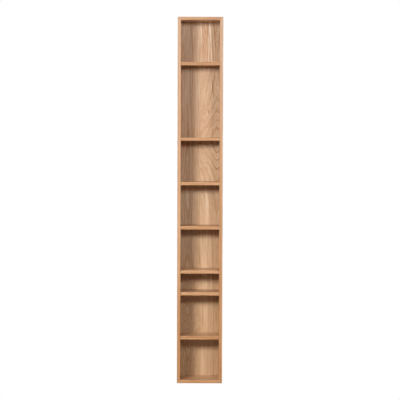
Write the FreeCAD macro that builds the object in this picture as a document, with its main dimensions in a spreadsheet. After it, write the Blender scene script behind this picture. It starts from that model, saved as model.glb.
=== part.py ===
import FreeCAD, Part

import os

import Sketcher

# An open, wall-hung shelf cabinet: a case of four oak-veneered boards mitred at the corners,
# a back panel let into grooves, seven loose shelves on hidden pins and a two-part hanging rail.
# Millimetres. X runs across, the front faces -Y, the wall is the plane y = 0 and Z is up.
# The origin lies on the wall, midway between the two screw holes of the wall rail.

SIZES = (
    ("cabinet_width", 220),
    ("cabinet_height", 1780),
    ("cabinet_depth", 175),
    ("board", 16),  # thickness of the case boards and of the shelves
    ("lipping", 4),  # solid oak strip on every front edge
    ("arris", 1),  # rounding along the front edges
    # clear heights between the shelves, from the bottom up; the top one takes the rest
    ("bay_1", 198),
    ("bay_2", 199),
    ("bay_3", 91),
    ("bay_4", 199),
    ("bay_5", 199),
    ("bay_6", 199),
    ("bay_7", 350),
    ("back_panel", 5),
    ("back_groove", 6),  # how far the back panel is let into the boards
    ("back_room", 0.5),  # room for the panel to swell at the bottom of its groove
    ("slip_fit", 0.1),  # room on each side of a piece that is slid or glued into a slot
    ("spline", 4),  # plywood tongue across each mitre
    ("spline_width", 14),
    ("spline_inset", 1.5),  # shift of the tongue towards the inner corner
    ("spline_stop", 5),  # solid wood left at each end of the tongue's slot
    ("shelf_end_gap", 0.5),
    ("shelf_back_gap", 1),
    ("shelf_setback", 2),  # shelf front behind the front of the case
    ("pin", 5),  # diameter of the shelf pins
    ("pin_length", 18),
    ("pin_sunk", 9),  # length of a pin inside the case side
    ("pin_play", 0.3),  # room around a pin in the shelf's groove
    ("pin_fit", 0.05),  # room around a pin in the case side
    ("pin_end_room", 0.5),
    ("pin_front", 30),  # front pins behind the front of the case
    ("pin_rear", 25),  # rear pins in front of the back panel
    ("batten", 12),  # thickness of the hanging batten behind the back panel
    ("batten_height", 60),
    ("tongue_edge", 12),  # ends of the batten's tongues from its long edges
    ("rail_sheet", 2),  # metal thickness of both hanging rails
    ("rail_end_gap", 4),  # rail ends from the case sides
    ("rail_gap", 0.5),  # room between the rails' lips, and to the wall
    ("rail_lip", 12),
    ("rail_lip_room", 1),  # the hooked lip stays this far above the wall rail's step
    ("wall_plate", 30),  # height of the wall rail's flat plate
    ("wall_hole", 5),
    ("wall_hole_inset", 30),  # wall screw holes from the rail's ends
    ("case_plate", 30),  # height of the case rail's flat plate
    ("case_plate_drop", 5),  # case rail below the top panel
    ("rail_bend", 1),  # rounding at the rails' outer bends
    ("screw", 4),
    ("screw_cover", 2),  # wood left between a screw's point and the back panel
    ("screw_head", 8),
    ("screw_head_height", 2.4),
    ("screw_point", 3),
    ("screw_fit", 0.1),
    ("screw_inset", 20),  # case rail screws from the rail's ends
)
SHELVES = sum(alias.startswith("bay_") for alias, value in SIZES)

doc = FreeCAD.newDocument("wall_cabinet")
sheet = doc.addObject("Spreadsheet::Sheet", "Sizes")
for row, (alias, value) in enumerate(SIZES, 1):
    sheet.set(f"A{row}", alias)
    sheet.set(f"B{row}", str(value))
    sheet.setAlias(f"B{row}", alias)
doc.recompute()

# Places that several pieces share, as expressions on the sheet.
HALF_WIDTH = "(Sizes.cabinet_width / 2)"
INNER_HALF = "(Sizes.cabinet_width / 2 - Sizes.board)"
UNDER_TOP = "(Sizes.cabinet_height - Sizes.board)"
BOARD_DEPTH = "(Sizes.cabinet_depth - Sizes.lipping)"
RAIL_STACK = "(3 * Sizes.rail_sheet + 3 * Sizes.rail_gap)"
BACK_REAR = f"({RAIL_STACK} + Sizes.batten)"
BACK_FRONT = f"({BACK_REAR} + Sizes.back_panel)"
SHELF_REAR = f"({BACK_FRONT} + Sizes.shelf_back_gap)"
SHELF_FRONT = "(Sizes.cabinet_depth - Sizes.shelf_setback)"
SHELF_HALF = f"({INNER_HALF} - Sizes.shelf_end_gap)"
FRONT_PIN = "(Sizes.cabinet_depth - Sizes.pin_front)"
REAR_PIN = f"({BACK_FRONT} + Sizes.pin_rear)"
WALL_LIP_TOP = "(Sizes.wall_plate / 2 + Sizes.rail_sheet + Sizes.rail_lip)"
TOP_UNDERSIDE = f"({WALL_LIP_TOP} + Sizes.case_plate + Sizes.case_plate_drop)"
BASE = f"({TOP_UNDERSIDE} + Sizes.board - Sizes.cabinet_height)"
RAIL_HALF = f"({INNER_HALF} - Sizes.rail_end_gap)"
SCREW_ACROSS = f"({RAIL_HALF} - Sizes.screw_inset)"
SCREW_LENGTH = "(Sizes.rail_sheet + Sizes.batten - Sizes.screw_cover)"
CASE_SCREW = "(Sizes.case_plate_drop + (Sizes.case_plate - Sizes.rail_sheet) / 2)"
SPLINE_START = f"({BACK_FRONT} + Sizes.spline_stop)"
SPLINE_RUN = f"({BOARD_DEPTH} - Sizes.spline_stop - {SPLINE_START})"


def shelf_underside(number):
    bays = " + ".join(f"Sizes.bay_{bay}" for bay in range(1, number + 1))
    return f"({bays} + {number} * Sizes.board)"


def number_of(expression):
    return float(sheet.evalExpression(expression))


def origin_plane(body, role):
    return next(feature for feature in body.Origin.OriginFeatures if feature.Role == role)


def new_body(label, height="0"):
    body = doc.addObject("PartDesign::Body", label)
    body.Label = label
    body.AllowCompound = True
    body.setExpression("Placement.Base.z", height)
    return body


def new_sketch(body, role, offset="0", sideways="0"):
    sketch = body.newObject("Sketcher::SketchObject", f"{body.Label}_sketch")
    sketch.AttachmentSupport = [(origin_plane(body, role), "")]
    sketch.MapMode = "FlatFace"
    sketch.setExpression("AttachmentOffset.Base.z", offset)
    sketch.setExpression("AttachmentOffset.Base.x", sideways)
    return sketch


def bind(sketch, constraint, expression):
    index = sketch.addConstraint(constraint)
    name = f"size_{index}"
    sketch.renameConstraint(index, name)
    sketch.setExpression(f"Constraints.{name}", expression)


def fix_point(sketch, geometry, point, x, y):
    for kind, place in (("DistanceX", x), ("DistanceY", y)):
        constraint = Sketcher.Constraint(kind, -1, 1, geometry, point, number_of(place))
        bind(sketch, constraint, place)


def outline(sketch, corners):
    # closed straight-sided outline, each corner a pair of expressions
    points = [FreeCAD.Vector(number_of(x), number_of(y), 0) for x, y in corners]
    first = sketch.GeometryCount
    count = len(points)
    for index, point in enumerate(points):
        sketch.addGeometry(Part.LineSegment(point, points[(index + 1) % count]))
    for index in range(count):
        following = first + (index + 1) % count
        sketch.addConstraint(Sketcher.Constraint("Coincident", first + index, 2, following, 1))
    for index, (x, y) in enumerate(corners):
        fix_point(sketch, first + index, 1, x, y)


def rectangle(sketch, left, right, low, high):
    outline(sketch, ((left, low), (right, low), (right, high), (left, high)))


def circle(sketch, x, y, diameter):
    centre = FreeCAD.Vector(number_of(x), number_of(y), 0)
    radius = number_of(diameter) / 2
    index = sketch.addGeometry(Part.Circle(centre, FreeCAD.Vector(0, 0, 1), radius))
    fix_point(sketch, index, 3, x, y)
    bind(sketch, Sketcher.Constraint("Diameter", index, 2 * radius), diameter)


def pad(body, sketch, length):
    feature = body.newObject("PartDesign::Pad", f"{body.Label}_pad")
    feature.Profile = sketch
    feature.setExpression("Length", length)
    doc.recompute()
    return feature


def pocket(body, sketch, depth, along_normal=False):
    before = body.Shape.Volume
    feature = body.newObject("PartDesign::Pocket", f"{body.Label}_pocket")
    feature.Profile = sketch
    feature.Reversed = along_normal
    feature.setExpression("Length", depth)
    doc.recompute()
    if feature.Shape.Volume >= before:
        raise RuntimeError(f"{feature.Name} cuts nothing")
    return feature


def mirror(body, features):
    feature = body.newObject("PartDesign::Mirrored", f"{body.Label}_mirror")
    feature.Originals = features
    feature.MirrorPlane = (origin_plane(body, "YZ_Plane"), [""])
    body.Tip = feature
    doc.recompute()
    return feature


def round_edges(body, feature, radius, wanted):
    names = [f"Edge{index}" for index, edge in enumerate(feature.Shape.Edges, 1) if wanted(edge)]
    fillet = body.newObject("PartDesign::Fillet", f"{body.Label}_rounding")
    fillet.Base = (feature, names)
    fillet.setExpression("Radius", radius)
    doc.recompute()
    return fillet


def is_front_arris(edge, front, direction):
    ends = [vertex.Point for vertex in edge.Vertexes]
    if len(ends) != 2 or any(abs(end.y + number_of(front)) > 1e-6 for end in ends):
        return False
    return abs((ends[1] - ends[0]).normalize().dot(direction)) > 0.999


# Outlines of the four case boards, seen from the front, mitred at every corner.
def side_outline(hand):
    outer = f"{hand} * {HALF_WIDTH}"
    inner = f"{hand} * {INNER_HALF}"
    high = UNDER_TOP
    return ((outer, "0"), (inner, "Sizes.board"), (inner, high), (outer, "Sizes.cabinet_height"))


def level_outline(outer, inner):
    return (
        (f"-{HALF_WIDTH}", outer),
        (HALF_WIDTH, outer),
        (INNER_HALF, inner),
        (f"-{INNER_HALF}", inner),
    )


# A tongue lies square across each mitre. Its rectangle, or its slot in one of the two boards,
# runs from 'near' to 'far' along the normal of the mitre plane.
def spline_outline(hand, level, near, far, half_thickness):
    middle = "(Sizes.board / 2 + Sizes.spline_inset)"
    corners = []
    for along, across in ((near, "-1"), (far, "-1"), (far, "1"), (near, "1")):
        shift = f"({across} * {half_thickness} / sqrt(2))"
        from_side = f"({middle} + {shift} + {along} / sqrt(2))"
        from_level = f"({middle} + {shift} - {along} / sqrt(2))"
        x = f"{hand} * ({HALF_WIDTH} - {from_side})"
        z = f"{from_level}" if level == "bottom" else f"(Sizes.cabinet_height - {from_level})"
        corners.append((x, z))
    return corners


SLOT_REACH = "(Sizes.spline_width / 2 + Sizes.slip_fit)"
SLOT_HALF = "(Sizes.spline / 2 + Sizes.slip_fit)"


def cut_back_groove(body, left, right, low, high):
    groove = new_sketch(body, "XZ_Plane", f"{BACK_REAR} - Sizes.slip_fit")
    rectangle(groove, left, right, low, high)
    pocket(body, groove, "Sizes.back_panel + 2 * Sizes.slip_fit", along_normal=True)


def cut_spline_slots(body, corners, reach):
    slots = new_sketch(body, "XZ_Plane", f"{SPLINE_START} - Sizes.slip_fit")
    for hand, level in corners:
        outline(slots, spline_outline(hand, level, "0", reach, SLOT_HALF))
    pocket(body, slots, f"{SPLINE_RUN} + 2 * Sizes.slip_fit", along_normal=True)


# The batten is held at each end by a tongue of the same plywood. Its section, or with room
# around it its slot, seen along X; 'top' is the height of the batten's upper edge.
def tongue_outline(sketch, top, room):
    middle = f"-({RAIL_STACK} + Sizes.batten / 2)"
    half = f"(Sizes.spline / 2 + {room})"
    high = f"{top} - Sizes.tongue_edge + {room}"
    low = f"{top} - Sizes.batten_height + Sizes.tongue_edge - {room}"
    rectangle(sketch, f"{middle} - {half}", f"{middle} + {half}", low, high)


def make_side(label, hand):
    body = new_body(label, BASE)
    profile = new_sketch(body, "XZ_Plane")
    outline(profile, side_outline(hand))
    pad(body, profile, BOARD_DEPTH)

    inner = f"{hand} * {INNER_HALF}"
    groove_floor = f"{hand} * ({INNER_HALF} + Sizes.back_groove)"
    cut_back_groove(body, groove_floor, inner, "0", "Sizes.cabinet_height")
    cut_spline_slots(body, ((hand, "bottom"), (hand, "top")), f"-{SLOT_REACH}")

    into_right = hand == 1
    slot = new_sketch(body, "YZ_Plane", inner)
    tongue_outline(slot, UNDER_TOP, "Sizes.slip_fit")
    pocket(body, slot, SLOT_REACH, into_right)

    holes = new_sketch(body, "YZ_Plane", inner)
    for number in range(1, SHELVES + 1):
        height = f"{shelf_underside(number)} + Sizes.board / 2"
        for place in (FRONT_PIN, REAR_PIN):
            circle(holes, f"-{place}", height, "Sizes.pin + 2 * Sizes.pin_fit")
    pocket(body, holes, "Sizes.pin_sunk + Sizes.pin_end_room", into_right)
    return body


def make_level_board(label, level):
    top = level == "top"
    outer = "Sizes.cabinet_height" if top else "0"
    inner = UNDER_TOP if top else "Sizes.board"
    groove_floor = f"{inner} + Sizes.back_groove" if top else f"{inner} - Sizes.back_groove"
    body = new_body(label, BASE)
    profile = new_sketch(body, "XZ_Plane")
    outline(profile, level_outline(outer, inner))
    pad(body, profile, BOARD_DEPTH)
    cut_back_groove(body, f"-{HALF_WIDTH}", HALF_WIDTH, inner, groove_floor)
    cut_spline_slots(body, ((-1, level), (1, level)), SLOT_REACH)
    return body


def make_lipping(label, corners, direction):
    body = new_body(label, BASE)
    profile = new_sketch(body, "XZ_Plane", BOARD_DEPTH)
    outline(profile, corners)
    strip = pad(body, profile, "Sizes.lipping")
    front = "Sizes.cabinet_depth"
    round_edges(body, strip, "Sizes.arris", lambda edge: is_front_arris(edge, front, direction))
    return body


def make_back_panel():
    body = new_body("back_panel", BASE)
    profile = new_sketch(body, "XZ_Plane", BACK_REAR)
    let_in = "Sizes.back_groove - Sizes.back_room"
    half = f"({INNER_HALF} + {let_in})"
    rectangle(profile, f"-{half}", half, f"Sizes.board - ({let_in})", f"{UNDER_TOP} + {let_in}")
    pad(body, profile, "Sizes.back_panel")
    return body


def make_mitre_splines():
    body = new_body("mitre_splines", BASE)
    profile = new_sketch(body, "XZ_Plane", SPLINE_START)
    reach = "(Sizes.spline_width / 2)"
    for hand in (-1, 1):
        for level in ("bottom", "top"):
            corners = spline_outline(hand, level, f"-{reach}", reach, "(Sizes.spline / 2)")
            outline(profile, corners)
    pad(body, profile, SPLINE_RUN)
    return body


def make_hanging_batten():
    # hangs from the underside of the top panel, behind the back panel
    body = new_body("hanging_batten", TOP_UNDERSIDE)
    profile = new_sketch(body, "XZ_Plane", RAIL_STACK)
    rectangle(profile, f"-{INNER_HALF}", INNER_HALF, "-Sizes.batten_height", "0")
    pad(body, profile, "Sizes.batten")

    slot = new_sketch(body, "YZ_Plane", f"-{INNER_HALF}")
    tongue_outline(slot, "0", "Sizes.slip_fit")
    left_slot = pocket(body, slot, SLOT_REACH, along_normal=True)

    pilots = new_sketch(body, "XZ_Plane", RAIL_STACK)
    circle(pilots, f"-{SCREW_ACROSS}", f"-{CASE_SCREW}", "Sizes.screw + Sizes.screw_fit")
    depth = f"{SCREW_LENGTH} - Sizes.rail_sheet + Sizes.screw_fit"
    left_pilot = pocket(body, pilots, depth, along_normal=True)
    mirror(body, [left_slot, left_pilot])
    return body


def make_batten_tongues():
    body = new_body("batten_tongues", TOP_UNDERSIDE)
    section = new_sketch(body, "YZ_Plane", f"-({INNER_HALF} + Sizes.spline_width / 2)")
    tongue_outline(section, "0", "0")
    left_tongue = pad(body, section, "Sizes.spline_width")
    mirror(body, [left_tongue])
    return body


def is_rail_bend(edge, places):
    # a long edge of the rail at one of the outer bends, given as (y, z)
    ends = [vertex.Point for vertex in edge.Vertexes]
    if len(ends) != 2 or abs(ends[0].x - ends[1].x) < 1:
        return False
    return any(abs(ends[0].y - y) < 1e-6 and abs(ends[0].z - z) < 1e-6 for y, z in places)


def make_rail(label, height, corners, bends, holes):
    body = new_body(label, height)
    profile = new_sketch(body, "YZ_Plane", f"-{RAIL_HALF}")
    outline(profile, corners)
    bar = pad(body, profile, f"2 * {RAIL_HALF}")
    places = [(number_of(y), number_of(z)) for y, z in bends]
    round_edges(body, bar, "Sizes.rail_bend", lambda edge: is_rail_bend(edge, places))

    drilling = new_sketch(body, "XZ_Plane", holes["face"])
    circle(drilling, f"-{holes['across']}", holes["z"], holes["diameter"])
    mirror(body, [pocket(body, drilling, "Sizes.rail_sheet", along_normal=True)])
    return body


def make_wall_rail():
    # flat plate on the wall, a step out at its top and a lip standing up from the step
    step = "(Sizes.wall_plate / 2)"
    step_top = f"({step} + Sizes.rail_sheet)"
    lip_front = "-(2 * Sizes.rail_sheet + 2 * Sizes.rail_gap)"
    lip_rear = "-(Sizes.rail_sheet + 2 * Sizes.rail_gap)"
    corners = (
        ("0", f"-{step}"),
        ("-Sizes.rail_sheet", f"-{step}"),
        ("-Sizes.rail_sheet", step),
        (lip_front, step),
        (lip_front, WALL_LIP_TOP),
        (lip_rear, WALL_LIP_TOP),
        (lip_rear, step_top),
        ("0", step_top),
    )
    holes = {
        "face": "0",
        "z": "0",
        "diameter": "Sizes.wall_hole",
        "across": f"({RAIL_HALF} - Sizes.wall_hole_inset)",
    }
    return make_rail("wall_rail", "0", corners, ((lip_front, step), ("0", step_top)), holes)


def make_case_rail():
    # the same section turned over: its lip hooks down behind the lip of the wall rail
    plate_top = "-Sizes.case_plate_drop"
    step = "(-Sizes.case_plate_drop - Sizes.case_plate)"
    step_top = f"({step} + Sizes.rail_sheet)"
    lip_end = f"({step} - Sizes.rail_lip + Sizes.rail_lip_room)"
    lip_rear = "-Sizes.rail_gap"
    lip_front = "-(Sizes.rail_gap + Sizes.rail_sheet)"
    plate_rear = f"-({RAIL_STACK} - Sizes.rail_sheet)"
    plate_front = f"-{RAIL_STACK}"
    corners = (
        (plate_front, plate_top),
        (plate_front, step),
        (lip_front, step),
        (lip_front, lip_end),
        (lip_rear, lip_end),
        (lip_rear, step_top),
        (plate_rear, step_top),
        (plate_rear, plate_top),
    )
    holes = {
        "face": f"{RAIL_STACK} - Sizes.rail_sheet",
        "z": f"-{CASE_SCREW}",
        "diameter": "Sizes.screw + 2 * Sizes.screw_fit",
        "across": SCREW_ACROSS,
    }
    bends = ((lip_rear, step_top), (plate_front, step))
    return make_rail("case_rail", TOP_UNDERSIDE, corners, bends, holes)


def make_rail_screws():
    # flat round heads on the case rail, shanks in the batten; turned about an axis along Y
    body = new_body("rail_screws", TOP_UNDERSIDE)
    profile = new_sketch(body, "XY_Plane", f"-{CASE_SCREW}", f"-{SCREW_ACROSS}")
    seat = f"-({RAIL_STACK} - Sizes.rail_sheet)"
    crown = f"({seat} + Sizes.screw_head_height)"
    tip = f"({seat} - {SCREW_LENGTH})"
    head = "(Sizes.screw_head / 2)"
    shank = "(Sizes.screw / 2)"
    outline(profile, (
        ("0", crown),
        (head, crown),
        (head, seat),
        (shank, seat),
        (shank, f"{tip} + Sizes.screw_point"),
        ("0", tip),
    ))
    turned = body.newObject("PartDesign::Revolution", "rail_screws_turned")
    turned.Profile = profile
    turned.ReferenceAxis = (profile, ["V_Axis"])
    turned.Angle = 360
    doc.recompute()
    mirror(body, [turned])
    return body


def make_shelf_pins(number):
    body = new_body(f"shelf_pins_{number}", f"{BASE} + {shelf_underside(number)}")
    ends = new_sketch(body, "YZ_Plane", f"-({INNER_HALF} + Sizes.pin_sunk)")
    for place in (FRONT_PIN, REAR_PIN):
        circle(ends, f"-{place}", "Sizes.board / 2", "Sizes.pin")
    left_pair = pad(body, ends, "Sizes.pin_length")
    mirror(body, [left_pair])
    return body


def make_shelf(number):
    # a groove in each end runs from the rear edge to a rounded stop around the front pin,
    # so the shelf slides home over its pins and hides them
    body = new_body(f"shelf_{number}", f"{BASE} + {shelf_underside(number)}")
    plan = new_sketch(body, "XY_Plane")
    board_front = f"-({SHELF_FRONT} - Sizes.lipping)"
    rectangle(plan, f"-{SHELF_HALF}", SHELF_HALF, board_front, f"-{SHELF_REAR}")
    pad(body, plan, "Sizes.board")

    groove_width = "(Sizes.pin + 2 * Sizes.pin_play)"
    pin_out = "(Sizes.pin_length - Sizes.pin_sunk)"
    depth = f"{pin_out} - Sizes.shelf_end_gap + Sizes.pin_end_room"
    low = f"Sizes.board / 2 - {groove_width} / 2"
    high = f"Sizes.board / 2 + {groove_width} / 2"
    run = new_sketch(body, "YZ_Plane", f"-{SHELF_HALF}")
    rectangle(run, f"-{FRONT_PIN}", f"-{SHELF_REAR}", low, high)
    groove = pocket(body, run, depth, along_normal=True)
    stop = new_sketch(body, "YZ_Plane", f"-{SHELF_HALF}")
    circle(stop, f"-{FRONT_PIN}", "Sizes.board / 2", groove_width)
    rounded = pocket(body, stop, depth, along_normal=True)
    mirror(body, [groove, rounded])
    return body


def make_shelf_lipping(number):
    body = new_body(f"shelf_{number}_lipping", f"{BASE} + {shelf_underside(number)}")
    face = new_sketch(body, "XZ_Plane", f"{SHELF_FRONT} - Sizes.lipping")
    rectangle(face, f"-{SHELF_HALF}", SHELF_HALF, "0", "Sizes.board")
    strip = pad(body, face, "Sizes.lipping")
    across = FreeCAD.Vector(1, 0, 0)
    round_edges(body, strip, "Sizes.arris", lambda edge: is_front_arris(edge, SHELF_FRONT, across))
    return body


upright = FreeCAD.Vector(0, 0, 1)
across = FreeCAD.Vector(1, 0, 0)
pieces = [
    make_side("left_side", -1),
    make_side("right_side", 1),
    make_level_board("top_panel", "top"),
    make_level_board("bottom_panel", "bottom"),
    make_lipping("left_side_lipping", side_outline(-1), upright),
    make_lipping("right_side_lipping", side_outline(1), upright),
    make_lipping("top_lipping", level_outline("Sizes.cabinet_height", UNDER_TOP), across),
    make_lipping("bottom_lipping", level_outline("0", "Sizes.board"), across),
    make_back_panel(),
    make_mitre_splines(),
    make_hanging_batten(),
    make_batten_tongues(),
    make_wall_rail(),
    make_case_rail(),
    make_rail_screws(),
]
for shelf in range(1, SHELVES + 1):
    pieces.append(make_shelf_pins(shelf))
    pieces.append(make_shelf(shelf))
    pieces.append(make_shelf_lipping(shelf))

doc.recompute()
for item in doc.Objects:
    if "Invalid" in item.State or "Error" in item.State:
        raise RuntimeError(f"{item.Label}: {item.State}")
for piece in pieces:
    if piece.Shape.isNull() or not piece.Shape.isValid():
        raise RuntimeError(f"{piece.Label} has no valid shape")

os.makedirs("parts", exist_ok=True)
for piece in pieces:
    piece.Shape.exportStep(f"parts/{piece.Label}.step")
    print(piece.Label, len(piece.Shape.Solids), "solids", round(piece.Shape.Volume), "mm3")
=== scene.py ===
import math

import bpy
from mathutils import Euler, Matrix, Vector


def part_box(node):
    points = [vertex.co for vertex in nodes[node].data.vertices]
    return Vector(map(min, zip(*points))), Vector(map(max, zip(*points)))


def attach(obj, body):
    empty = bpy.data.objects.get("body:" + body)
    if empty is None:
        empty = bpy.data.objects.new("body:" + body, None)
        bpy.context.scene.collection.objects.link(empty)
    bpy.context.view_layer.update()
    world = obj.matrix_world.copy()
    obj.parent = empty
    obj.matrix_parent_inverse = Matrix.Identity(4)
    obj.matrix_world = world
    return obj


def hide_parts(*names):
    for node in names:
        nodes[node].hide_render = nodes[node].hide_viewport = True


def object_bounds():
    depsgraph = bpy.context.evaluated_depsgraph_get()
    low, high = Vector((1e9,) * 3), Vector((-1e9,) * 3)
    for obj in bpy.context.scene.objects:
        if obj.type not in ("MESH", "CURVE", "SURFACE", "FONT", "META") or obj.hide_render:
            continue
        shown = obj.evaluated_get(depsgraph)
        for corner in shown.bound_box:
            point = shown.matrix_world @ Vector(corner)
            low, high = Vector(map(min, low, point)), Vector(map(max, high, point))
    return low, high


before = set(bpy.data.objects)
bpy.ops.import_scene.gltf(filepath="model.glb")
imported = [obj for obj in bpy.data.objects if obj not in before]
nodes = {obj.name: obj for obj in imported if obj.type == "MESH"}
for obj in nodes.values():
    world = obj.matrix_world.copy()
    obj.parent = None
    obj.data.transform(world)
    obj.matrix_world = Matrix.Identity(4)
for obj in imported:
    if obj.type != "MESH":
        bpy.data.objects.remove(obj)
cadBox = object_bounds()  # the CAD box, before any piece is added
shelfNames = ["shelf_%d" % number for number in range(1, 8)]  # from the bottom up
scene = bpy.context.scene
scene.view_settings.view_transform = "Standard"


def linear(hexColour):
    parts = [int(hexColour[i:i + 2], 16) / 255 for i in (1, 3, 5)]
    return [c / 12.92 if c <= 0.04045 else ((c + 0.055) / 1.055) ** 2.4 for c in parts] + [1.0]


def add(tree, kind, inputs=None, stops=None, **settings):
    made = tree.nodes.new(kind)
    for key, value in settings.items():
        setattr(made, key, value)
    for key, value in (inputs or {}).items():
        if isinstance(value, bpy.types.NodeSocket):
            tree.links.new(value, made.inputs[key])
        else:
            made.inputs[key].default_value = value
    for index, (at, colour) in enumerate(stops or []):
        elements = made.color_ramp.elements
        stop = elements[index] if index < 2 else elements.new(at)
        stop.position = at
        stop.color = linear(colour)
    return made.outputs


def startMaterial(name):
    material = bpy.data.materials.new(name)
    material.use_nodes = True
    material.node_tree.nodes.clear()
    return material, material.node_tree


def finishMaterial(tree, inputs):
    shader = add(tree, "ShaderNodeBsdfPrincipled", inputs)[0]
    add(tree, "ShaderNodeOutputMaterial", {"Surface": shader})


noiseSpan = (0.3, 0.7)  # most of a noise's values lie between these

# Sizes of the grain in millimetres, across and along it
grainMm = {
    "drift": (70, 1500),  # slow change of tone from one part of a board to the next
    "streak": (9, 460),
    "fleck": (3.8, 150),  # fibre bundles, drawn coarser than life so that they show
    "fibre": (1.2, 70),  # fine straight lines, seen only from near by
    "pore": (0.6, 9),  # about twice the real size, for the same reason
    "wander": (60, 320),  # how the growth rings wave
}
woodShape = {
    "slant": 0.4,  # how far the rings lean through the thickness of a board
    "side": 0.3,  # how fast the flecks change from one side of the heart to the other
    "firstYear": 500.0,  # keeps the count of years above zero
    "faintest": 0.4,  # the weakest ring, against 1 for the strongest
    "pores": (0.57, 0.68),  # the part of the noise that becomes pores
    "topOnly": 8.0,  # power that keeps the crisper grain to the top of the back
    "softEdge": (0.5, 1.3),  # where a stripe begins to fade and where it is gone, in half widths
    "roughSpread": 0.05,
    "bumpStrength": 0.35,
    "bumpDepth": 0.0003,
    "skin": 0.0003,  # how near to an end face counts as the sawn edge
}


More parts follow.
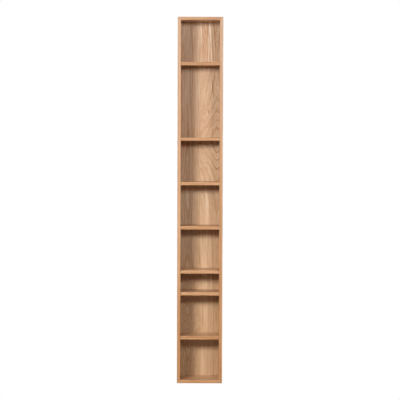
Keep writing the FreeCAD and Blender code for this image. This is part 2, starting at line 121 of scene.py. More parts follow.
def wood(name, look):
    material, tree = startMaterial(name)
    place = add(tree, "ShaderNodeTexCoord")["Object"]
    # turned so that z runs along the grain
    turn = (0, math.radians(90), 0) if look["grain"] == "level" else (0, 0, 0)
    turned = add(tree, "ShaderNodeMapping", {"Vector": place, "Rotation": turn})[0]
    across, thick, along = add(tree, "ShaderNodeSeparateXYZ", {0: turned})

    def grain(layer, vector):
        wide, long = grainMm[layer]
        shift = [look["seed"] * step + list(grainMm).index(layer) for step in (3.1, 1.7, 5.3)]
        size = (1000 / wide, 1000 / wide, 1000 / long)
        stretched = add(tree, "ShaderNodeMapping",
                        {"Vector": vector, "Scale": size, "Location": shift})[0]
        return add(tree, "ShaderNodeTexNoise",
                   {"Vector": stretched, "Scale": 1.0, "Detail": 2.0})[0]

    # a smooth rise along the grain, highest where the cut comes nearest to the heart
    def hump(spot):
        step = add(tree, "ShaderNodeMath", {0: along, 1: spot["at"]}, operation="SUBTRACT")[0]
        step = add(tree, "ShaderNodeMath", {0: step, 1: 1 / spot["half"]}, operation="MULTIPLY")[0]
        step = add(tree, "ShaderNodeMath", {0: step, 1: step, 2: 1.0}, operation="MULTIPLY_ADD")[0]
        return add(tree, "ShaderNodeMath", {0: spot["rise"], 1: step}, operation="DIVIDE")[0]

    # distance from the heart of the log, or just across the board where the grain is straight
    waved = add(tree, "ShaderNodeMath", {0: grain("wander", turned), 1: look["wave"], 2: across},
                operation="MULTIPLY_ADD")[0]
    radius = add(tree, "ShaderNodeMath", {0: thick, 1: woodShape["slant"], 2: waved},
                 operation="MULTIPLY_ADD")[0]
    flow, side = across, thick  # streaks and flecks follow the figure
    figure = 1.0
    porous = 0.6  # share of a year's growth that is open and dark
    calm = 0.0  # how far the flecks give way to the rings
    for leaf in look.get("leaves", []):
        beside = add(tree, "ShaderNodeMath", {0: waved, 1: leaf["heart"] + look["wave"] / 2},
                     operation="SUBTRACT")[0]
        both = add(tree, "ShaderNodeCombineXYZ", {0: beside, 1: leaf["blunt"]})[0]
        apart = add(tree, "ShaderNodeVectorMath", {0: both}, operation="LENGTH")["Value"]
        near, far = leaf["fade"]  # rings are strong near the heart, flecks further out
        leafFigure = add(tree, "ShaderNodeMapRange", {0: apart, 1: near, 2: far, 3: leaf["figure"],
                                                      4: leaf["figure"] * leaf["faded"]})[0]
        for high, low, left in leaf["ebb"]:  # the figure grows or fades down the leaf
            ebb = add(tree, "ShaderNodeMapRange", {0: along, 1: high, 2: low, 3: 1.0, 4: left})[0]
            leafFigure = add(tree, "ShaderNodeMath", {0: leafFigure, 1: ebb},
                             operation="MULTIPLY")[0]
        leafCalm = add(tree, "ShaderNodeMapRange",
                       {0: apart, 1: near, 2: far, 3: leaf["calm"], 4: 0.0})[0]
        leafRadius = add(tree, "ShaderNodeMath", {0: apart, 1: leaf["steep"]},
                         operation="MULTIPLY")[0]
        for eye in leaf["eyes"]:  # the cut comes nearer to the heart at an eye
            leafRadius = add(tree, "ShaderNodeMath", {0: leafRadius, 1: hump(eye)},
                             operation="SUBTRACT")[0]
        here = add(tree, "ShaderNodeMath", {0: across, 1: leaf["from"]},
                   operation="GREATER_THAN")[0]
        radius = add(tree, "ShaderNodeMix", {0: here, 2: radius, 3: leafRadius})[0]
        leafFlow = add(tree, "ShaderNodeMath", {0: leafRadius, 1: 1 / leaf["steep"]},
                       operation="MULTIPLY")[0]
        flow = add(tree, "ShaderNodeMix", {0: here, 2: flow, 3: leafFlow})[0]
        leafSide = add(tree, "ShaderNodeMath", {0: beside, 1: woodShape["side"]},
                       operation="MULTIPLY")[0]
        side = add(tree, "ShaderNodeMix", {0: here, 2: side, 3: leafSide})[0]
        figure = add(tree, "ShaderNodeMix", {0: here, 2: figure, 3: leafFigure})[0]
        porous = add(tree, "ShaderNodeMix", {0: here, 2: porous, 3: leaf["porous"]})[0]
        calm = add(tree, "ShaderNodeMix", {0: here, 2: calm, 3: leafCalm})[0]

    followed = add(tree, "ShaderNodeCombineXYZ", {0: flow, 1: side, 2: along})[0]
    sizes = ("drift", "streak", "fleck", "fibre", "pore")
    layers = {layer: grain(layer, followed) for layer in sizes}
    if "leaves" in look:
        layers["fleck"] = add(tree, "ShaderNodeMix", {0: calm, 2: layers["fleck"], 3: 0.5})[0]

    years = woodShape["firstYear"] + look["years"]
    count = add(tree, "ShaderNodeMath", {0: radius, 1: 1000 / look["ringMm"], 2: years},
                operation="MULTIPLY_ADD")[0]
    year = add(tree, "ShaderNodeMath", {0: count}, operation="FLOOR")[0]
    part = add(tree, "ShaderNodeMath", {0: count}, operation="FRACT")[0]
    early = add(tree, "ShaderNodeMapRange", {0: part, 1: 0.0, 2: porous, 3: 1.0, 4: 0.0},
                interpolation_type="SMOOTHSTEP")[0]
    vigour = add(tree, "ShaderNodeTexWhiteNoise", {"W": year}, noise_dimensions="1D")[0]
    vigour = add(tree, "ShaderNodeMapRange", {0: vigour, 3: woodShape["faintest"], 4: 1.0})[0]
    line = add(tree, "ShaderNodeMath", {0: early, 1: vigour}, operation="MULTIPLY")[0]
    band = add(tree, "ShaderNodeTexNoise", {"W": count, "Scale": look["bandScale"], "Detail": 3.0},
               noise_dimensions="1D")[0]
    band = add(tree, "ShaderNodeMath", {0: band, 1: 0.5}, operation="SUBTRACT")[0]
    rings = add(tree, "ShaderNodeMath", {0: band, 1: look["band"]}, operation="MULTIPLY")[0]
    rings = add(tree, "ShaderNodeMath", {0: line, 1: -look["line"], 2: rings},
                operation="MULTIPLY_ADD")[0]
    rings = add(tree, "ShaderNodeMath", {0: rings, 1: figure}, operation="MULTIPLY")[0]
    low, high = woodShape["pores"]
    pore = add(tree, "ShaderNodeMapRange", {0: layers["pore"], 1: low, 2: high})[0]
    pore = add(tree, "ShaderNodeMath", {0: pore, 1: early}, operation="MULTIPLY")[0]

    # paler and darker parts add up round the middle of the colour ramp
    shares = [(layers[layer], look[layer]) for layer in ("drift", "streak", "fleck", "fibre")]
    tone = -sum(share for noise, share in shares) / 2
    for noise, share in shares:
        tone = add(tree, "ShaderNodeMath", {0: noise, 1: share, 2: tone},
                   operation="MULTIPLY_ADD")[0]
    mean = 0.5 + look["lift"] + look["line"] / 6  # the last part makes up for the dark lines
    if "ends" in look:  # a long piece has its own mean tone at the low and the high end
        low, high = look["ends"]
        mean = add(tree, "ShaderNodeMapRange", {0: along, 1: cadBox[0].z, 2: cadBox[1].z,
                                                3: mean + low, 4: mean + high})[0]
    if "contrast" in look:  # quieter grain, crisper again at the top of the back
        upwards = add(tree, "ShaderNodeMapRange", {0: along, 1: cadBox[0].z, 2: cadBox[1].z})[0]
        topmost = add(tree, "ShaderNodeMath", {0: upwards, 1: woodShape["topOnly"]},
                      operation="POWER")[0]
        contrast = add(tree, "ShaderNodeMath", {0: topmost, 1: look["crisp"], 2: look["contrast"]},
                       operation="MULTIPLY_ADD")[0]
        tone = add(tree, "ShaderNodeMath", {0: tone, 1: contrast}, operation="MULTIPLY")[0]
    for noise, share in ((mean, 1.0), (rings, 1.0), (pore, -look["pore"])):
        tone = add(tree, "ShaderNodeMath", {0: noise, 1: share, 2: tone},
                   operation="MULTIPLY_ADD")[0]
    plain, gone = woodShape["softEdge"]
    for at, half, lean, middle, reach, change in look.get("stripes", []):  # paler or darker
        rise = add(tree, "ShaderNodeMath", {0: along, 1: middle}, operation="SUBTRACT")[0]
        beside = add(tree, "ShaderNodeMath", {0: across, 1: at}, operation="SUBTRACT")[0]
        beside = add(tree, "ShaderNodeMath", {0: rise, 1: -lean, 2: beside},
                     operation="MULTIPLY_ADD")[0]
        for off, size in ((beside, half), (rise, reach)):
            off = add(tree, "ShaderNodeMath", {0: off}, operation="ABSOLUTE")[0]
            soft = add(tree, "ShaderNodeMapRange",
                       {0: off, 1: size * plain, 2: size * gone, 3: 1.0, 4: 0.0},
                       interpolation_type="SMOOTHSTEP")[0]
            change = add(tree, "ShaderNodeMath", {0: soft, 1: change}, operation="MULTIPLY")[0]
        tone = add(tree, "ShaderNodeMath", {0: tone, 1: change}, operation="ADD")[0]
    colour = add(tree, "ShaderNodeValToRGB", {0: tone}, stops=look["colours"])[0]
    for high, low, stops in look.get("lowerColours", []):  # the colour shifts down the board
        lower = add(tree, "ShaderNodeValToRGB", {0: tone}, stops=stops)[0]
        share = add(tree, "ShaderNodeMapRange", {0: along, 1: high, 2: low})[0]
        colour = add(tree, "ShaderNodeMix", {0: share, 6: colour, 7: lower}, data_type="RGBA")[2]
    dull, spread = look["rough"], woodShape["roughSpread"]
    rough = add(tree, "ShaderNodeMapRange", {0: layers["fleck"], 1: noiseSpan[0], 2: noiseSpan[1],
                                             3: dull - spread, 4: dull + spread})[0]
    height = add(tree, "ShaderNodeMath", {0: pore, 1: -1.0, 2: layers["fibre"]},
                 operation="MULTIPLY_ADD")[0]

    if "core" in look:  # sawn edges show the chipboard between the veneers
        core = look["core"]
        parts = add(tree, "ShaderNodeSeparateXYZ", {0: place})
        sawn = add(tree, "ShaderNodeMath", {0: parts[1], 1: core["rear"] - woodShape["skin"]},
                   operation="GREATER_THAN")[0]
        if "end" in core:
            side = add(tree, "ShaderNodeMath", {0: parts[0]}, operation="ABSOLUTE")[0]
            side = add(tree, "ShaderNodeMath", {0: side, 1: core["end"] - woodShape["skin"]},
                       operation="GREATER_THAN")[0]
            sawn = add(tree, "ShaderNodeMath", {0: sawn, 1: side}, operation="MAXIMUM")[0]
        inner = add(tree, "ShaderNodeMath",
                    {0: parts[core["axis"]], 1: core["middle"], 2: core["half"]},
                    operation="COMPARE")[0]
        sawn = add(tree, "ShaderNodeMath", {0: sawn, 1: inner}, operation="MULTIPLY")[0]
        flakes = add(tree, "ShaderNodeTexVoronoi",
                     {"Vector": place, "Scale": 1000 / core["flakeMm"]})
        flake = flakes["Color"]
        chips = add(tree, "ShaderNodeValToRGB", {0: flake}, stops=core["colours"])[0]
        colour = add(tree, "ShaderNodeMix", {0: sawn, 6: colour, 7: chips}, data_type="RGBA")[2]
        rough = add(tree, "ShaderNodeMix", {0: sawn, 2: rough, 3: core["rough"]})[0]
        height = add(tree, "ShaderNodeMix", {0: sawn, 2: height, 3: flake})[0]
    bump = add(tree, "ShaderNodeBump", {"Height": height, "Strength": woodShape["bumpStrength"],
                                        "Distance": woodShape["bumpDepth"]})[0]
    finishMaterial(tree, {"Base Color": colour, "Roughness": rough, "Normal": bump, "IOR": 1.5})
    return material


def dress(nodeName, material):
    for slot in nodes[nodeName].material_slots:
        slot.material = material


# Oak under a clear satin lacquer: warm tan, soft darker growth bands, short flecks and dark
# pores along the grain, a low sheen that shows only at a flat angle.
oak = {
    "drift": 0.45, "streak": 0.5, "fleck": 0.42, "fibre": 0.3, "pore": 0.25,  # shares of the grain
    "ringMm": 3.0, "years": 0, "band": 0.5, "bandScale": 0.4, "line": 0.22, "wave": 0.008,  # rings
    "rough": 0.34, "lift": 0.0, "crisp": 0.0,
    "colours": [(0.0, "#7E5230"), (0.25, "#AF7B4C"), (0.5, "#C7996F"), (0.75, "#DAB48D"),
                (1.0, "#EBD2B4")],
}

# The back is crown cut, two veneer leaves side by side with the heart of the log in each
backVeneer = {
    **oak, "grain": "upright", "seed": 41,
    "drift": 0.2, "streak": 0.4, "fleck": 0.75, "fibre": 0.8, "pore": 0.4,
    "ringMm": 4.0, "years": 40.57, "band": 0.3, "bandScale": 1.0, "line": 0.26, "wave": 0.022,
    "contrast": 0.78, "crisp": 1.1,
    "colours": [(0.0, "#80491E"), (0.25, "#B07A49"), (0.4, "#BD9066"), (0.5, "#C19D79"),
                (0.75, "#D5B797"), (1.0, "#E7D5BD")],
    "lowerColours": [
        (-0.5, -0.8, [(0.0, "#7D5029"), (0.25, "#AD8158"), (0.5, "#C19F7C"),
                      (0.75, "#D5BA9A"), (1.0, "#E7D7C0")]),
        (-1.0, -1.3, [(0.0, "#7C4E25"), (0.25, "#AC7F52"), (0.5, "#C19E78"),
                      (0.75, "#D6B996"), (1.0, "#E8D6BB")])],
    "leaves": [
        {"from": -0.2, "heart": -0.061, "blunt": 0.010, "steep": 0.4, "figure": 0.75,
         "porous": 0.6, "fade": (0.035, 0.08), "faded": 0.6, "calm": 0.3, "ebb": [],
         "eyes": [{"at": -1.36, "half": 0.10, "rise": 0.04},
                  {"at": -0.78, "half": 0.12, "rise": 0.007}]},
        {"from": 0.0, "heart": 0.082, "blunt": 0.007, "steep": -0.165, "figure": 1.0,
         "porous": 0.35, "fade": (0.022, 0.064), "faded": 0.2, "calm": 0.5,
         "ebb": [(-0.42, -0.56, 1.7), (-0.70, -0.84, 0.25)],
         "eyes": [{"at": -0.515, "half": 0.14, "rise": -0.0229},
                  {"at": 0.06, "half": 0.10, "rise": -0.004}]},
    ],
    "stripes": [  # place across, half width, lean, middle, reach up and down, change of tone
        (0.022, 0.016, 0.0, -0.04, 0.11, -0.08),  # top bay: a darker run
        (0.0345, 0.0045, 0.0, -0.04, 0.11, -0.12),
        (0.042, 0.0022, 0.0, -0.04, 0.11, 0.42),  # with pale stripes
        (0.051, 0.004, -0.05, -0.04, 0.11, 0.42),
        (0.068, 0.002, -0.06, -0.04, 0.11, 0.12),
        (0.081, 0.014, 0.0, 0.03, 0.07, -0.1),  # and a darker right side: partly a tan patch of the veneer, partly painted shade where the right side's shadow falls
        (0.070, 0.030, 0.0, -0.62, 0.11, 0.08),  # sixth bay, right side: painted fill light, paler where the right side's shadow falls
        (0.062, 0.0026, -0.1, -0.262, 0.045, -0.36),  # tall bay: dark streak
        (0.0565, 0.002, -0.1, -0.275, 0.05, 0.14),  # with a pale edge
        (0.0405, 0.0026, -0.1, -0.375, 0.010, -0.45),  # small knot
        (0.084, 0.020, 0.0, -0.20, 0.42, 0.08),  # right side, upper half: painted fill light, paler where the right side's shadow falls
        (0.034, 0.010, 0.0, -0.82, 0.11, 0.06),  # fifth bay: pale stripe
        (0.029, 0.013, 0.0, -1.10, 0.38, 0.05),  # pale run down the lower bays
        (-0.070, 0.030, 0.0, -0.95, 0.25, 0.085),  # left side, middle bays: painted fill light, paler where the left side's shadow falls
        (0.004, 0.002, -0.068, -1.20, 0.17, -0.2),  # dark line, leaning
        (0.0135, 0.0026, 0.012, -1.39, 0.07, -0.19),  # second bay: dark line
        (0.0265, 0.0080, 0.0, -1.41, 0.075, 0.06),  # beside a pale stripe
        (-0.017, 0.012, 0.0, -1.39, 0.08, 0.04),
    ],
}
dress("back_panel", wood("oakCrownVeneer", backVeneer))

chipboard = {"flakeMm": 2.2, "rough": 0.85,
             "colours": [(0.0, "#8E6E4C"), (0.5, "#B8966C"), (1.0, "#D2B88F")]}
veneerThickness = 0.0006
paintedLightOnLevelBoards = 0.08  # painted light: the level boards are made paler, standing in for more light on the shelf tops
boards = ["left_side", "right_side", "top_panel", "bottom_panel"] + shelfNames
for seed, board in enumerate(boards, 5):
    low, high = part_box(board)
    axis = 0 if "side" in board else 2
    core = {**chipboard, "axis": axis, "rear": high.y, "middle": (low[axis] + high[axis]) / 2,
            "half": (high[axis] - low[axis]) / 2 - veneerThickness}
    if board in shelfNames:
        core["end"] = high.x
    # the level boards, shelves, top and bottom, get the painted paleness that stands in for light
    # on the shelf tops
    look = {"grain": "upright"} if axis == 0 else {"grain": "level", "lift": paintedLightOnLevelBoards}
    dress(board, wood("oakVeneer_" + board, {**oak, **look, "seed": seed, "core": core}))

# Solid lippings each have their own tone, edge by edge. The side lippings turn paler towards the
# top: painted sheen from the lamps above, partly the wood's own colour drift
lippingColours = [(0.0, "#754823"), (0.25, "#AE7545"), (0.5, "#C9976B"),
                  (0.75, "#DCB490"), (1.0, "#ECD3B6")]
# paler colours at the top, blending to lippingColours at the bottom: painted sheen from the lamps
# above, partly the wood's colour drift
palerTopPaintedSheen = {"colours": [(0.0, "#754C29"), (0.25, "#AE7A4E"), (0.5, "#C99C77"),
                     (0.75, "#DCB89B"), (1.0, "#ECD5BE")],
         "lowerColours": [(cadBox[1].z, cadBox[0].z, lippingColours)]}
lippingTones = {
    # the side lippings' ends also run paler towards the top, more painted sheen
    "left_side": {"ends": (-0.15, -0.03), "contrast": 0.7, "streak": 0.15, "drift": 0.05, **palerTopPaintedSheen,
                  "stripes": [(-0.0995, 0.0045, 0.0, -0.45, 0.6, 0.12),
                              (-0.106, 0.02, 0.0, -1.05, 0.25, 0.08)]},
    "right_side": {"ends": (-0.14, 0.0), "contrast": 0.7, "drift": 0.05, **palerTopPaintedSheen},
    "top": {"lift": -0.1}, "shelf_7": {"lift": -0.12}, "shelf_6": {"lift": -0.07},
    "shelf_5": {"lift": -0.02}, "shelf_4": {"lift": -0.01}, "shelf_3": {"lift": 0.07},
    "shelf_2": {"lift": 0.05}, "shelf_1": {"lift": -0.07},
    "bottom": {"lift": -0.09},
}
for seed, (edge, tones) in enumerate(lippingTones.items(), 21):
    look = {**oak, "band": 0.4, "drift": 0.15, "ringMm": 2.4, "wave": 0.004,
            "colours": lippingColours, "grain": "upright" if "side" in edge else "level",
            **tones, "seed": seed}
    dress(edge + "_lipping", wood("solidOak_" + edge, look))

# Planed spruce, bare: pale straw with amber latewood lines. Birch ply: pale, fine plies.
spruce = {**oak, "grain": "level", "seed": 40, "ringMm": 3.4, "line": 0.55, "pore": 0.0,
          "rough": 0.62, "wave": 0.01,
          "colours": [(0.0, "#A8743C"), (0.35, "#D2A868"), (0.6, "#E2C48C"), (1.0, "#F0DDB4")]}
dress("hanging_batten", wood("planedSpruce", spruce))
birch = {**spruce, "seed": 44, "ringMm": 1.4, "line": 0.3,
         "colours": [(0.0, "#B08A5C"), (0.4, "#D6B88A"), (0.7, "#E4CDA2"), (1.0, "#F0E0C0")]}
for piece in ("mitre_splines", "batten_tongues"):
    dress(piece, wood("birchPly_" + piece, birch))
print("wood dressed")

metalBump = {"Strength": 0.2, "Distance": 0.0001}


# Metals: colour is what they reflect, and the lines of drawing, rolling or turning blur it along x
def metal(name, look):
    material, tree = startMaterial(name)
    place = add(tree, "ShaderNodeTexCoord")["Object"]
    size = (1000 / look["lineMm"][1], 1000 / look["lineMm"][0], 1000 / look["lineMm"][0])
    drawn = add(tree, "ShaderNodeMapping", {"Vector": place, "Scale": size})[0]
    lines = add(tree, "ShaderNodeTexNoise", {"Vector": drawn, "Scale": 1.0, "Detail": 3.0})[0]
    blotch = add(tree, "ShaderNodeTexNoise", {"Vector": place, "Scale": 1000 / look["blotchMm"],
                                              "Detail": 2.0})[0]
    mixed = add(tree, "ShaderNodeMix", {0: 0.5, 2: lines, 3: blotch})[0]
    colour = add(tree, "ShaderNodeValToRGB", {0: mixed}, stops=look["colours"])[0]
    low, high = look["rough"]
    rough = add(tree, "ShaderNodeMapRange", {0: mixed, 1: noiseSpan[0], 2: noiseSpan[1],
                                             3: low, 4: high})[0]
    bump = add(tree, "ShaderNodeBump", {"Height": lines, **metalBump})[0]
    finishMaterial(tree, {"Base Color": colour, "Metallic": 1.0, "Roughness": rough,
                          "Normal": bump})
    return material


aluminium = metal("millAluminium", {"lineMm": (0.5, 60), "blotchMm": 18, "rough": (0.3, 0.45),
                                    "colours": [(0.25, "#C2C4C6"), (0.75, "#DADBDC")]})
zinc = metal("zincPlatedSteel", {"lineMm": (0.6, 3), "blotchMm": 3, "rough": (0.26, 0.42),
                                 "colours": [(0.25, "#B4B9BF"), (0.5, "#C9CBCB"),
                                             (0.75, "#D6D3C6")]})
steel = metal("drawnSteel", {"lineMm": (0.4, 12), "blotchMm": 5, "rough": (0.2, 0.32),
                             "colours": [(0.25, "#B9BABB"), (0.75, "#D0D0CF")]})
for rail in ("wall_rail", "case_rail"):
    dress(rail, aluminium)
print("metal dressed")

sharpAngle = 35  # edges sharper than this stay crisp


# A tree with named inputs, its sizes in metres, that puts one shape on every point given
def startTree(name, sizes):
    tree = bpy.data.node_groups.new(name, "GeometryNodeTree")
    tree.interface.new_socket("Geometry", in_out="INPUT", socket_type="NodeSocketGeometry")
    for size in sizes:
        tree.interface.new_socket(size, in_out="INPUT", socket_type="NodeSocketFloat")
    tree.interface.new_socket("Material", in_out="INPUT", socket_type="NodeSocketMaterial")
    tree.interface.new_socket("Geometry", in_out="OUTPUT", socket_type="NodeSocketGeometry")
    return tree, add(tree, "NodeGroupInput")


def finishTree(tree, given, shape, turn):
    turned = add(tree, "GeometryNodeTransform", {"Geometry": shape, "Rotation": turn})[0]
    spread = add(tree, "GeometryNodeInstanceOnPoints",
                 {"Points": given["Geometry"], "Instance": turned})[0]
    solid = add(tree, "GeometryNodeRealizeInstances", {0: spread})[0]
    finished = add(tree, "GeometryNodeSetMaterial",
                   {"Geometry": solid, "Material": given["Material"]})[0]
    add(tree, "NodeGroupOutput", {0: finished})


def runTree(name, tree, points, values):
    start = bpy.data.meshes.new(name + "Points")
    start.from_pydata(points, [], [])
    carrier = bpy.data.objects.new(name + "Carrier", start)
    scene.collection.objects.link(carrier)
    modifier = carrier.modifiers.new("build", "NODES")
    modifier.node_group = tree
    for item in tree.interface.items_tree:
        if item.in_out == "INPUT" and item.name in values:
            modifier[item.identifier] = values[item.name]
    built = carrier.evaluated_get(bpy.context.evaluated_depsgraph_get())
    mesh = bpy.data.meshes.new_from_object(built)
    bpy.data.objects.remove(carrier)
    mesh.name = name
    mesh.shade_smooth()
    mesh.set_sharp_from_angle(angle=math.radians(sharpAngle))
    piece = bpy.data.objects.new(name, mesh)
    scene.collection.objects.link(piece)
    return piece


# Shelf pins: drawn rod with a chamfer at both ends, four under each shelf
pinSizes = {"Length": 0.018, "Diameter": 0.005, "Chamfer": 0.0006}
pinFacets = 28
tree, given = startTree("shelfPinTree", pinSizes)
radius = add(tree, "ShaderNodeMath", {0: given["Diameter"], 1: 0.5}, operation="MULTIPLY")[0]
shaft = add(tree, "ShaderNodeMath", {0: given["Chamfer"], 1: -2.0, 2: given["Length"]},
            operation="MULTIPLY_ADD")[0]
rod = add(tree, "GeometryNodeMeshCylinder",
          {"Vertices": pinFacets, "Radius": radius, "Depth": shaft})
ends = add(tree, "FunctionNodeBooleanMath", {0: rod["Top"], 1: rod["Bottom"]}, operation="OR")[0]
tips = add(tree, "GeometryNodeExtrudeMesh", {"Mesh": rod["Mesh"], "Selection": ends,
                                             "Offset Scale": given["Chamfer"]})
shrink = add(tree, "ShaderNodeMath", {0: given["Chamfer"], 1: radius}, operation="DIVIDE")[0]
shrink = add(tree, "ShaderNodeMath", {0: 1.0, 1: shrink}, operation="SUBTRACT")[0]
pin = add(tree, "GeometryNodeScaleElements", {"Geometry": tips["Mesh"], "Selection": tips["Top"],
                                              "Scale": shrink})[0]
finishTree(tree, given, pin, (0, math.radians(90), 0))
pinPoints = []
pinNodes = ["shelf_pins_%d" % number for number in range(1, 8)]
for pins in pinNodes:
    low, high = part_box(pins)
    inset = pinSizes["Diameter"] / 2
    for x in (low.x + pinSizes["Length"] / 2, high.x - pinSizes["Length"] / 2):
        for y in (low.y + inset, high.y - inset):
            pinPoints.append((x, y, (low.z + high.z) / 2))
shelfPins = runTree("shelf_pins", tree, pinPoints, {**pinSizes, "Material": steel})
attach(shelfPins, "case")
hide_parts(*pinNodes)
print("shelf pins:", len(pinPoints))

# Rail screws: pan head with a cross recess, threaded shank and a point
screwSizes = {"Head Diameter": 0.008, "Head Height": 0.0024, "Recess Width": 0.0009,
              "Shank Diameter": 0.0028, "Shank Length": 0.009, "Point Length": 0.003,
              "Thread Pitch": 0.0015, "Thread Height": 0.0005}
headFacets, shankFacets = 40, 24
panSteps = (0.9, 0.72)  # the pan head is rounded over in two steps
slotReach = 1.1  # length of a slot, in radii of the head
tree, given = startTree("railScrewTree", screwSizes)
headRadius = add(tree, "ShaderNodeMath", {0: given["Head Diameter"], 1: 0.5},
                 operation="MULTIPLY")[0]
shankRadius = add(tree, "ShaderNodeMath", {0: given["Shank Diameter"], 1: 0.5},
                  operation="MULTIPLY")[0]
half = add(tree, "ShaderNodeMath", {0: given["Head Height"], 1: 0.5}, operation="MULTIPLY")[0]
quarter = add(tree, "ShaderNodeMath", {0: given["Head Height"], 1: 0.25}, operation="MULTIPLY")[0]
disc = add(tree, "GeometryNodeMeshCylinder",
           {"Vertices": headFacets, "Radius": headRadius, "Depth": half})
head, top = disc["Mesh"], disc["Top"]
for share in panSteps:
    risen = add(tree, "GeometryNodeExtrudeMesh",
                {"Mesh": head, "Selection": top, "Offset Scale": quarter})
    head = add(tree, "GeometryNodeScaleElements",
               {"Geometry": risen["Mesh"], "Selection": risen["Top"], "Scale": share})[0]
    top = risen["Top"]
lift = add(tree, "ShaderNodeCombineXYZ", {2: quarter})[0]
head = add(tree, "GeometryNodeTransform", {"Geometry": head, "Translation": lift})[0]
arm = add(tree, "ShaderNodeMath", {0: headRadius, 1: slotReach}, operation="MULTIPLY")[0]
recess = add(tree, "ShaderNodeCombineXYZ",
             {0: arm, 1: given["Recess Width"], 2: given["Head Height"]})[0]
slot = add(tree, "GeometryNodeMeshCube", {"Size": recess})[0]
crown = add(tree, "ShaderNodeCombineXYZ", {2: given["Head Height"]})[0]
for angle in (0, 90):  # the cross, one slot at a time
    cutter = add(tree, "GeometryNodeTransform",
                 {"Geometry": slot, "Translation": crown,
                  "Rotation": (0, 0, math.radians(angle))})[0]
    head = add(tree, "GeometryNodeMeshBoolean", {"Mesh 1": head, "Mesh 2": cutter},
               operation="DIFFERENCE", solver="EXACT")[0]
shank = add(tree, "GeometryNodeMeshCylinder",
            {"Vertices": shankFacets, "Radius": shankRadius,
             "Depth": given["Shank Length"]})["Mesh"]
drop = add(tree, "ShaderNodeMath", {0: given["Shank Length"], 1: -0.5}, operation="MULTIPLY")[0]
drop = add(tree, "ShaderNodeCombineXYZ", {2: drop})[0]
shank = add(tree, "GeometryNodeTransform", {"Geometry": shank, "Translation": drop})[0]
point = add(tree, "GeometryNodeMeshCone",
            {"Vertices": shankFacets, "Radius Top": 0.0, "Radius Bottom": shankRadius,
             "Depth": given["Point Length"]})["Mesh"]
below = add(tree, "ShaderNodeMath", {0: given["Shank Length"], 1: -1.0}, operation="MULTIPLY")[0]
below = add(tree, "ShaderNodeCombineXYZ", {2: below})[0]
point = add(tree, "GeometryNodeTransform",
            {"Geometry": point, "Translation": below, "Rotation": (math.radians(180), 0, 0)})[0]
turns = add(tree, "ShaderNodeMath", {0: given["Shank Length"], 1: given["Thread Pitch"]},
            operation="DIVIDE")[0]
helix = add(tree, "GeometryNodeCurveSpiral",
            {"Resolution": shankFacets, "Rotations": turns, "Start Radius": shankRadius,
             "End Radius": shankRadius, "Height": given["Shank Length"]})[0]
ridge = add(tree, "GeometryNodeCurvePrimitiveCircle",
            {"Resolution": 3, "Radius": given["Thread Height"]})["Curve"]
thread = add(tree, "GeometryNodeCurveToMesh",
             {"Curve": helix, "Profile Curve": ridge, "Fill Caps": True})[0]
thread = add(tree, "GeometryNodeTransform", {"Geometry": thread, "Translation": below})[0]
joined = tree.nodes.new("GeometryNodeJoinGeometry")
for shape in (head, shank, point, thread):
    tree.links.new(shape, joined.inputs[0])
finishTree(tree, given, joined.outputs[0], (math.radians(-90), 0, 0))
low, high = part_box("rail_screws")
seat = high.y - screwSizes["Head Height"]
inset = screwSizes["Head Diameter"] / 2
screwPoints = [(x, seat, (low.z + high.z) / 2) for x in (low.x + inset, high.x - inset)]
railScrews = runTree("rail_screws_turned", tree, screwPoints, {**screwSizes, "Material": zinc})
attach(railScrews, "case")
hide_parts("rail_screws")
print("rail screws:", len(screwPoints))

# Camera, at the photograph's viewing angle
view = {"lens": 139.24, "sensor": 36, "away": 7.5, "height": -0.486, "pitch": 2.439, "roll": 0.1852,
        "farthest": 60}
cameraData = bpy.data.cameras.new("camera")
cameraData.lens = view["lens"]
cameraData.sensor_width = view["sensor"]
cameraData.clip_end = view["farthest"]
camera = bpy.data.objects.new("camera", cameraData)
scene.collection.objects.link(camera)
aim = Euler((math.radians(90 - view["pitch"]), 0, 0)).to_matrix()
aim = aim @ Euler((0, 0, math.radians(view["roll"]))).to_matrix()
stand = Matrix.Translation((0, cadBox[0].y - view["away"], view["height"]))
camera.matrix_world = stand @ aim.to_4x4()
scene.camera = camera

# Two soft boxes in front, the stronger one on the left, both a little above the cabinet's top.
# Two more behind and above light the outer sides, the top and the rear.
softBoxes = {
    "leftBox": {"at": (-2.11, -4.22, 0.315), "aim": (0, -0.1, -1.3), "size": (1.10, 0.78),
                "power": 48.6, "spread": 97},
    "rightBox": {"at": (1.43, -4.88, 0.48), "aim": (0, -0.1, 0.1), "size": (1.03, 0.72),
                 "power": 29.6, "spread": 104},
    "leftRearBox": {"at": (-3.2, 3.0, 2.4), "aim": (0, -0.1, -0.8), "size": (1.4, 1.4),
                    "power": 110, "spread": 180},
    "rightRearBox": {"at": (3.2, 3.0, 2.4), "aim": (0, -0.1, -0.8), "size": (1.4, 1.4),
                     "power": 110, "spread": 180},
}
for name, box in softBoxes.items():
    lamp = bpy.data.lights.new(name, "AREA")
    lamp.shape = "RECTANGLE"
    lamp.size, lamp.size_y = box["size"]
    lamp.energy = box["power"]
    lampObject = bpy.data.objects.new(name, lamp)
    scene.collection.objects.link(lampObject)
    lamp.spread = math.radians(box["spread"])
    towards = Vector(box["aim"]) - Vector(box["at"])
    turn = towards.to_track_quat("-Z", "Y").to_matrix().to_4x4()
    lampObject.matrix_world = Matrix.Translation(box["at"]) @ turn
    lampObject.visible_camera = False
    lampObject.visible_glossy = "Rear" not in name  # no hard glare on the lacquer from behind

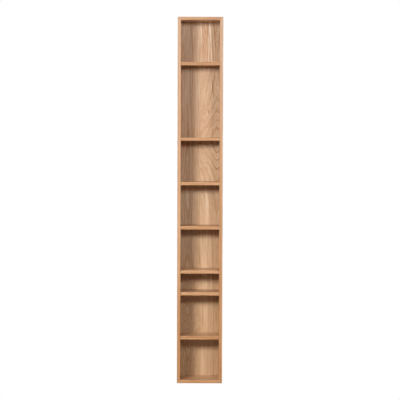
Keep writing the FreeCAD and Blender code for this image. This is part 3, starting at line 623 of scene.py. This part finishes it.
# White backdrop beyond the cabinet, for the eye and for reflections, and a dim room that gives a
# low even fill from all round
room = {"fill": 0.197, "tint": "#EDECE6", "backdrop": "#FFFFFF", "backdropEdge": (-0.1, 0.3)}
world = bpy.data.worlds.new("studio")
world.use_nodes = True
scene.world = world
tree = world.node_tree
tree.nodes.clear()
ray = add(tree, "ShaderNodeLightPath")
direction = add(tree, "ShaderNodeTexCoord")["Generated"]
direction = add(tree, "ShaderNodeSeparateXYZ", {0: direction})[1]
near, far = room["backdropEdge"]
beyond = add(tree, "ShaderNodeMapRange", {0: direction, 1: near, 2: far},
             interpolation_type="SMOOTHSTEP")[0]
seen = add(tree, "ShaderNodeMath", {0: ray["Is Glossy Ray"], 1: ray["Is Transmission Ray"]},
           operation="MAXIMUM")[0]
seen = add(tree, "ShaderNodeMath", {0: seen, 1: beyond}, operation="MULTIPLY")[0]
seen = add(tree, "ShaderNodeMath", {0: seen, 1: ray["Is Camera Ray"]}, operation="MAXIMUM")[0]
strength = add(tree, "ShaderNodeMapRange", {0: seen, 3: room["fill"], 4: 1.0})[0]
tint = add(tree, "ShaderNodeMix", {0: seen, 6: linear(room["tint"]), 7: linear(room["backdrop"])},
           data_type="RGBA")[2]
sky = add(tree, "ShaderNodeBackground", {"Color": tint, "Strength": strength})[0]
add(tree, "ShaderNodeOutputWorld", {"Surface": sky})
print("camera and light set")

# Pale studio floor below the cabinet, which hangs clear of it; it fades to the white backdrop
studioFloor = {"below": 0.30, "radius": 1.1, "plainTo": 0.2, "fadedAt": 1.0, "leastFade": 0.55,
               "mottleMm": 25, "colours": [(0.0, "#CFCDCA"), (1.0, "#DBD9D6")]}
bpy.ops.mesh.primitive_circle_add(vertices=96, radius=studioFloor["radius"], fill_type="NGON",
                                  location=(0, 0, cadBox[0].z - studioFloor["below"]))
floor = bpy.context.object
floor.name = "floor"
material, tree = startMaterial("paleStudioPaper")
place = add(tree, "ShaderNodeTexCoord")["Object"]
mottle = add(tree, "ShaderNodeTexNoise", {"Vector": place, "Scale": 1000 / studioFloor["mottleMm"],
                                          "Detail": 4.0})[0]
paper = add(tree, "ShaderNodeValToRGB", {0: mottle}, stops=studioFloor["colours"])[0]
matt = add(tree, "ShaderNodeBsdfDiffuse", {"Color": paper})[0]
white = add(tree, "ShaderNodeEmission", {"Color": linear(room["backdrop"]), "Strength": 1.0})[0]
away = add(tree, "ShaderNodeVectorMath", {0: place}, operation="LENGTH")["Value"]
faded = add(tree, "ShaderNodeMapRange",
            {0: away, 1: studioFloor["plainTo"], 2: studioFloor["fadedAt"],
             3: studioFloor["leastFade"]},
            interpolation_type="SMOOTHSTEP")[0]
ray = add(tree, "ShaderNodeLightPath")
seen = add(tree, "ShaderNodeMath", {0: ray["Is Glossy Ray"], 1: ray["Is Transmission Ray"]},
           operation="MAXIMUM")[0]
seen = add(tree, "ShaderNodeMath", {0: seen, 1: ray["Is Camera Ray"]}, operation="MAXIMUM")[0]
share = add(tree, "ShaderNodeMath", {0: faded, 1: seen}, operation="MULTIPLY")[0]
blended = add(tree, "ShaderNodeMixShader", {0: share, 1: matt, 2: white})[0]
add(tree, "ShaderNodeOutputMaterial", {"Surface": blended})
floor.data.materials.append(material)
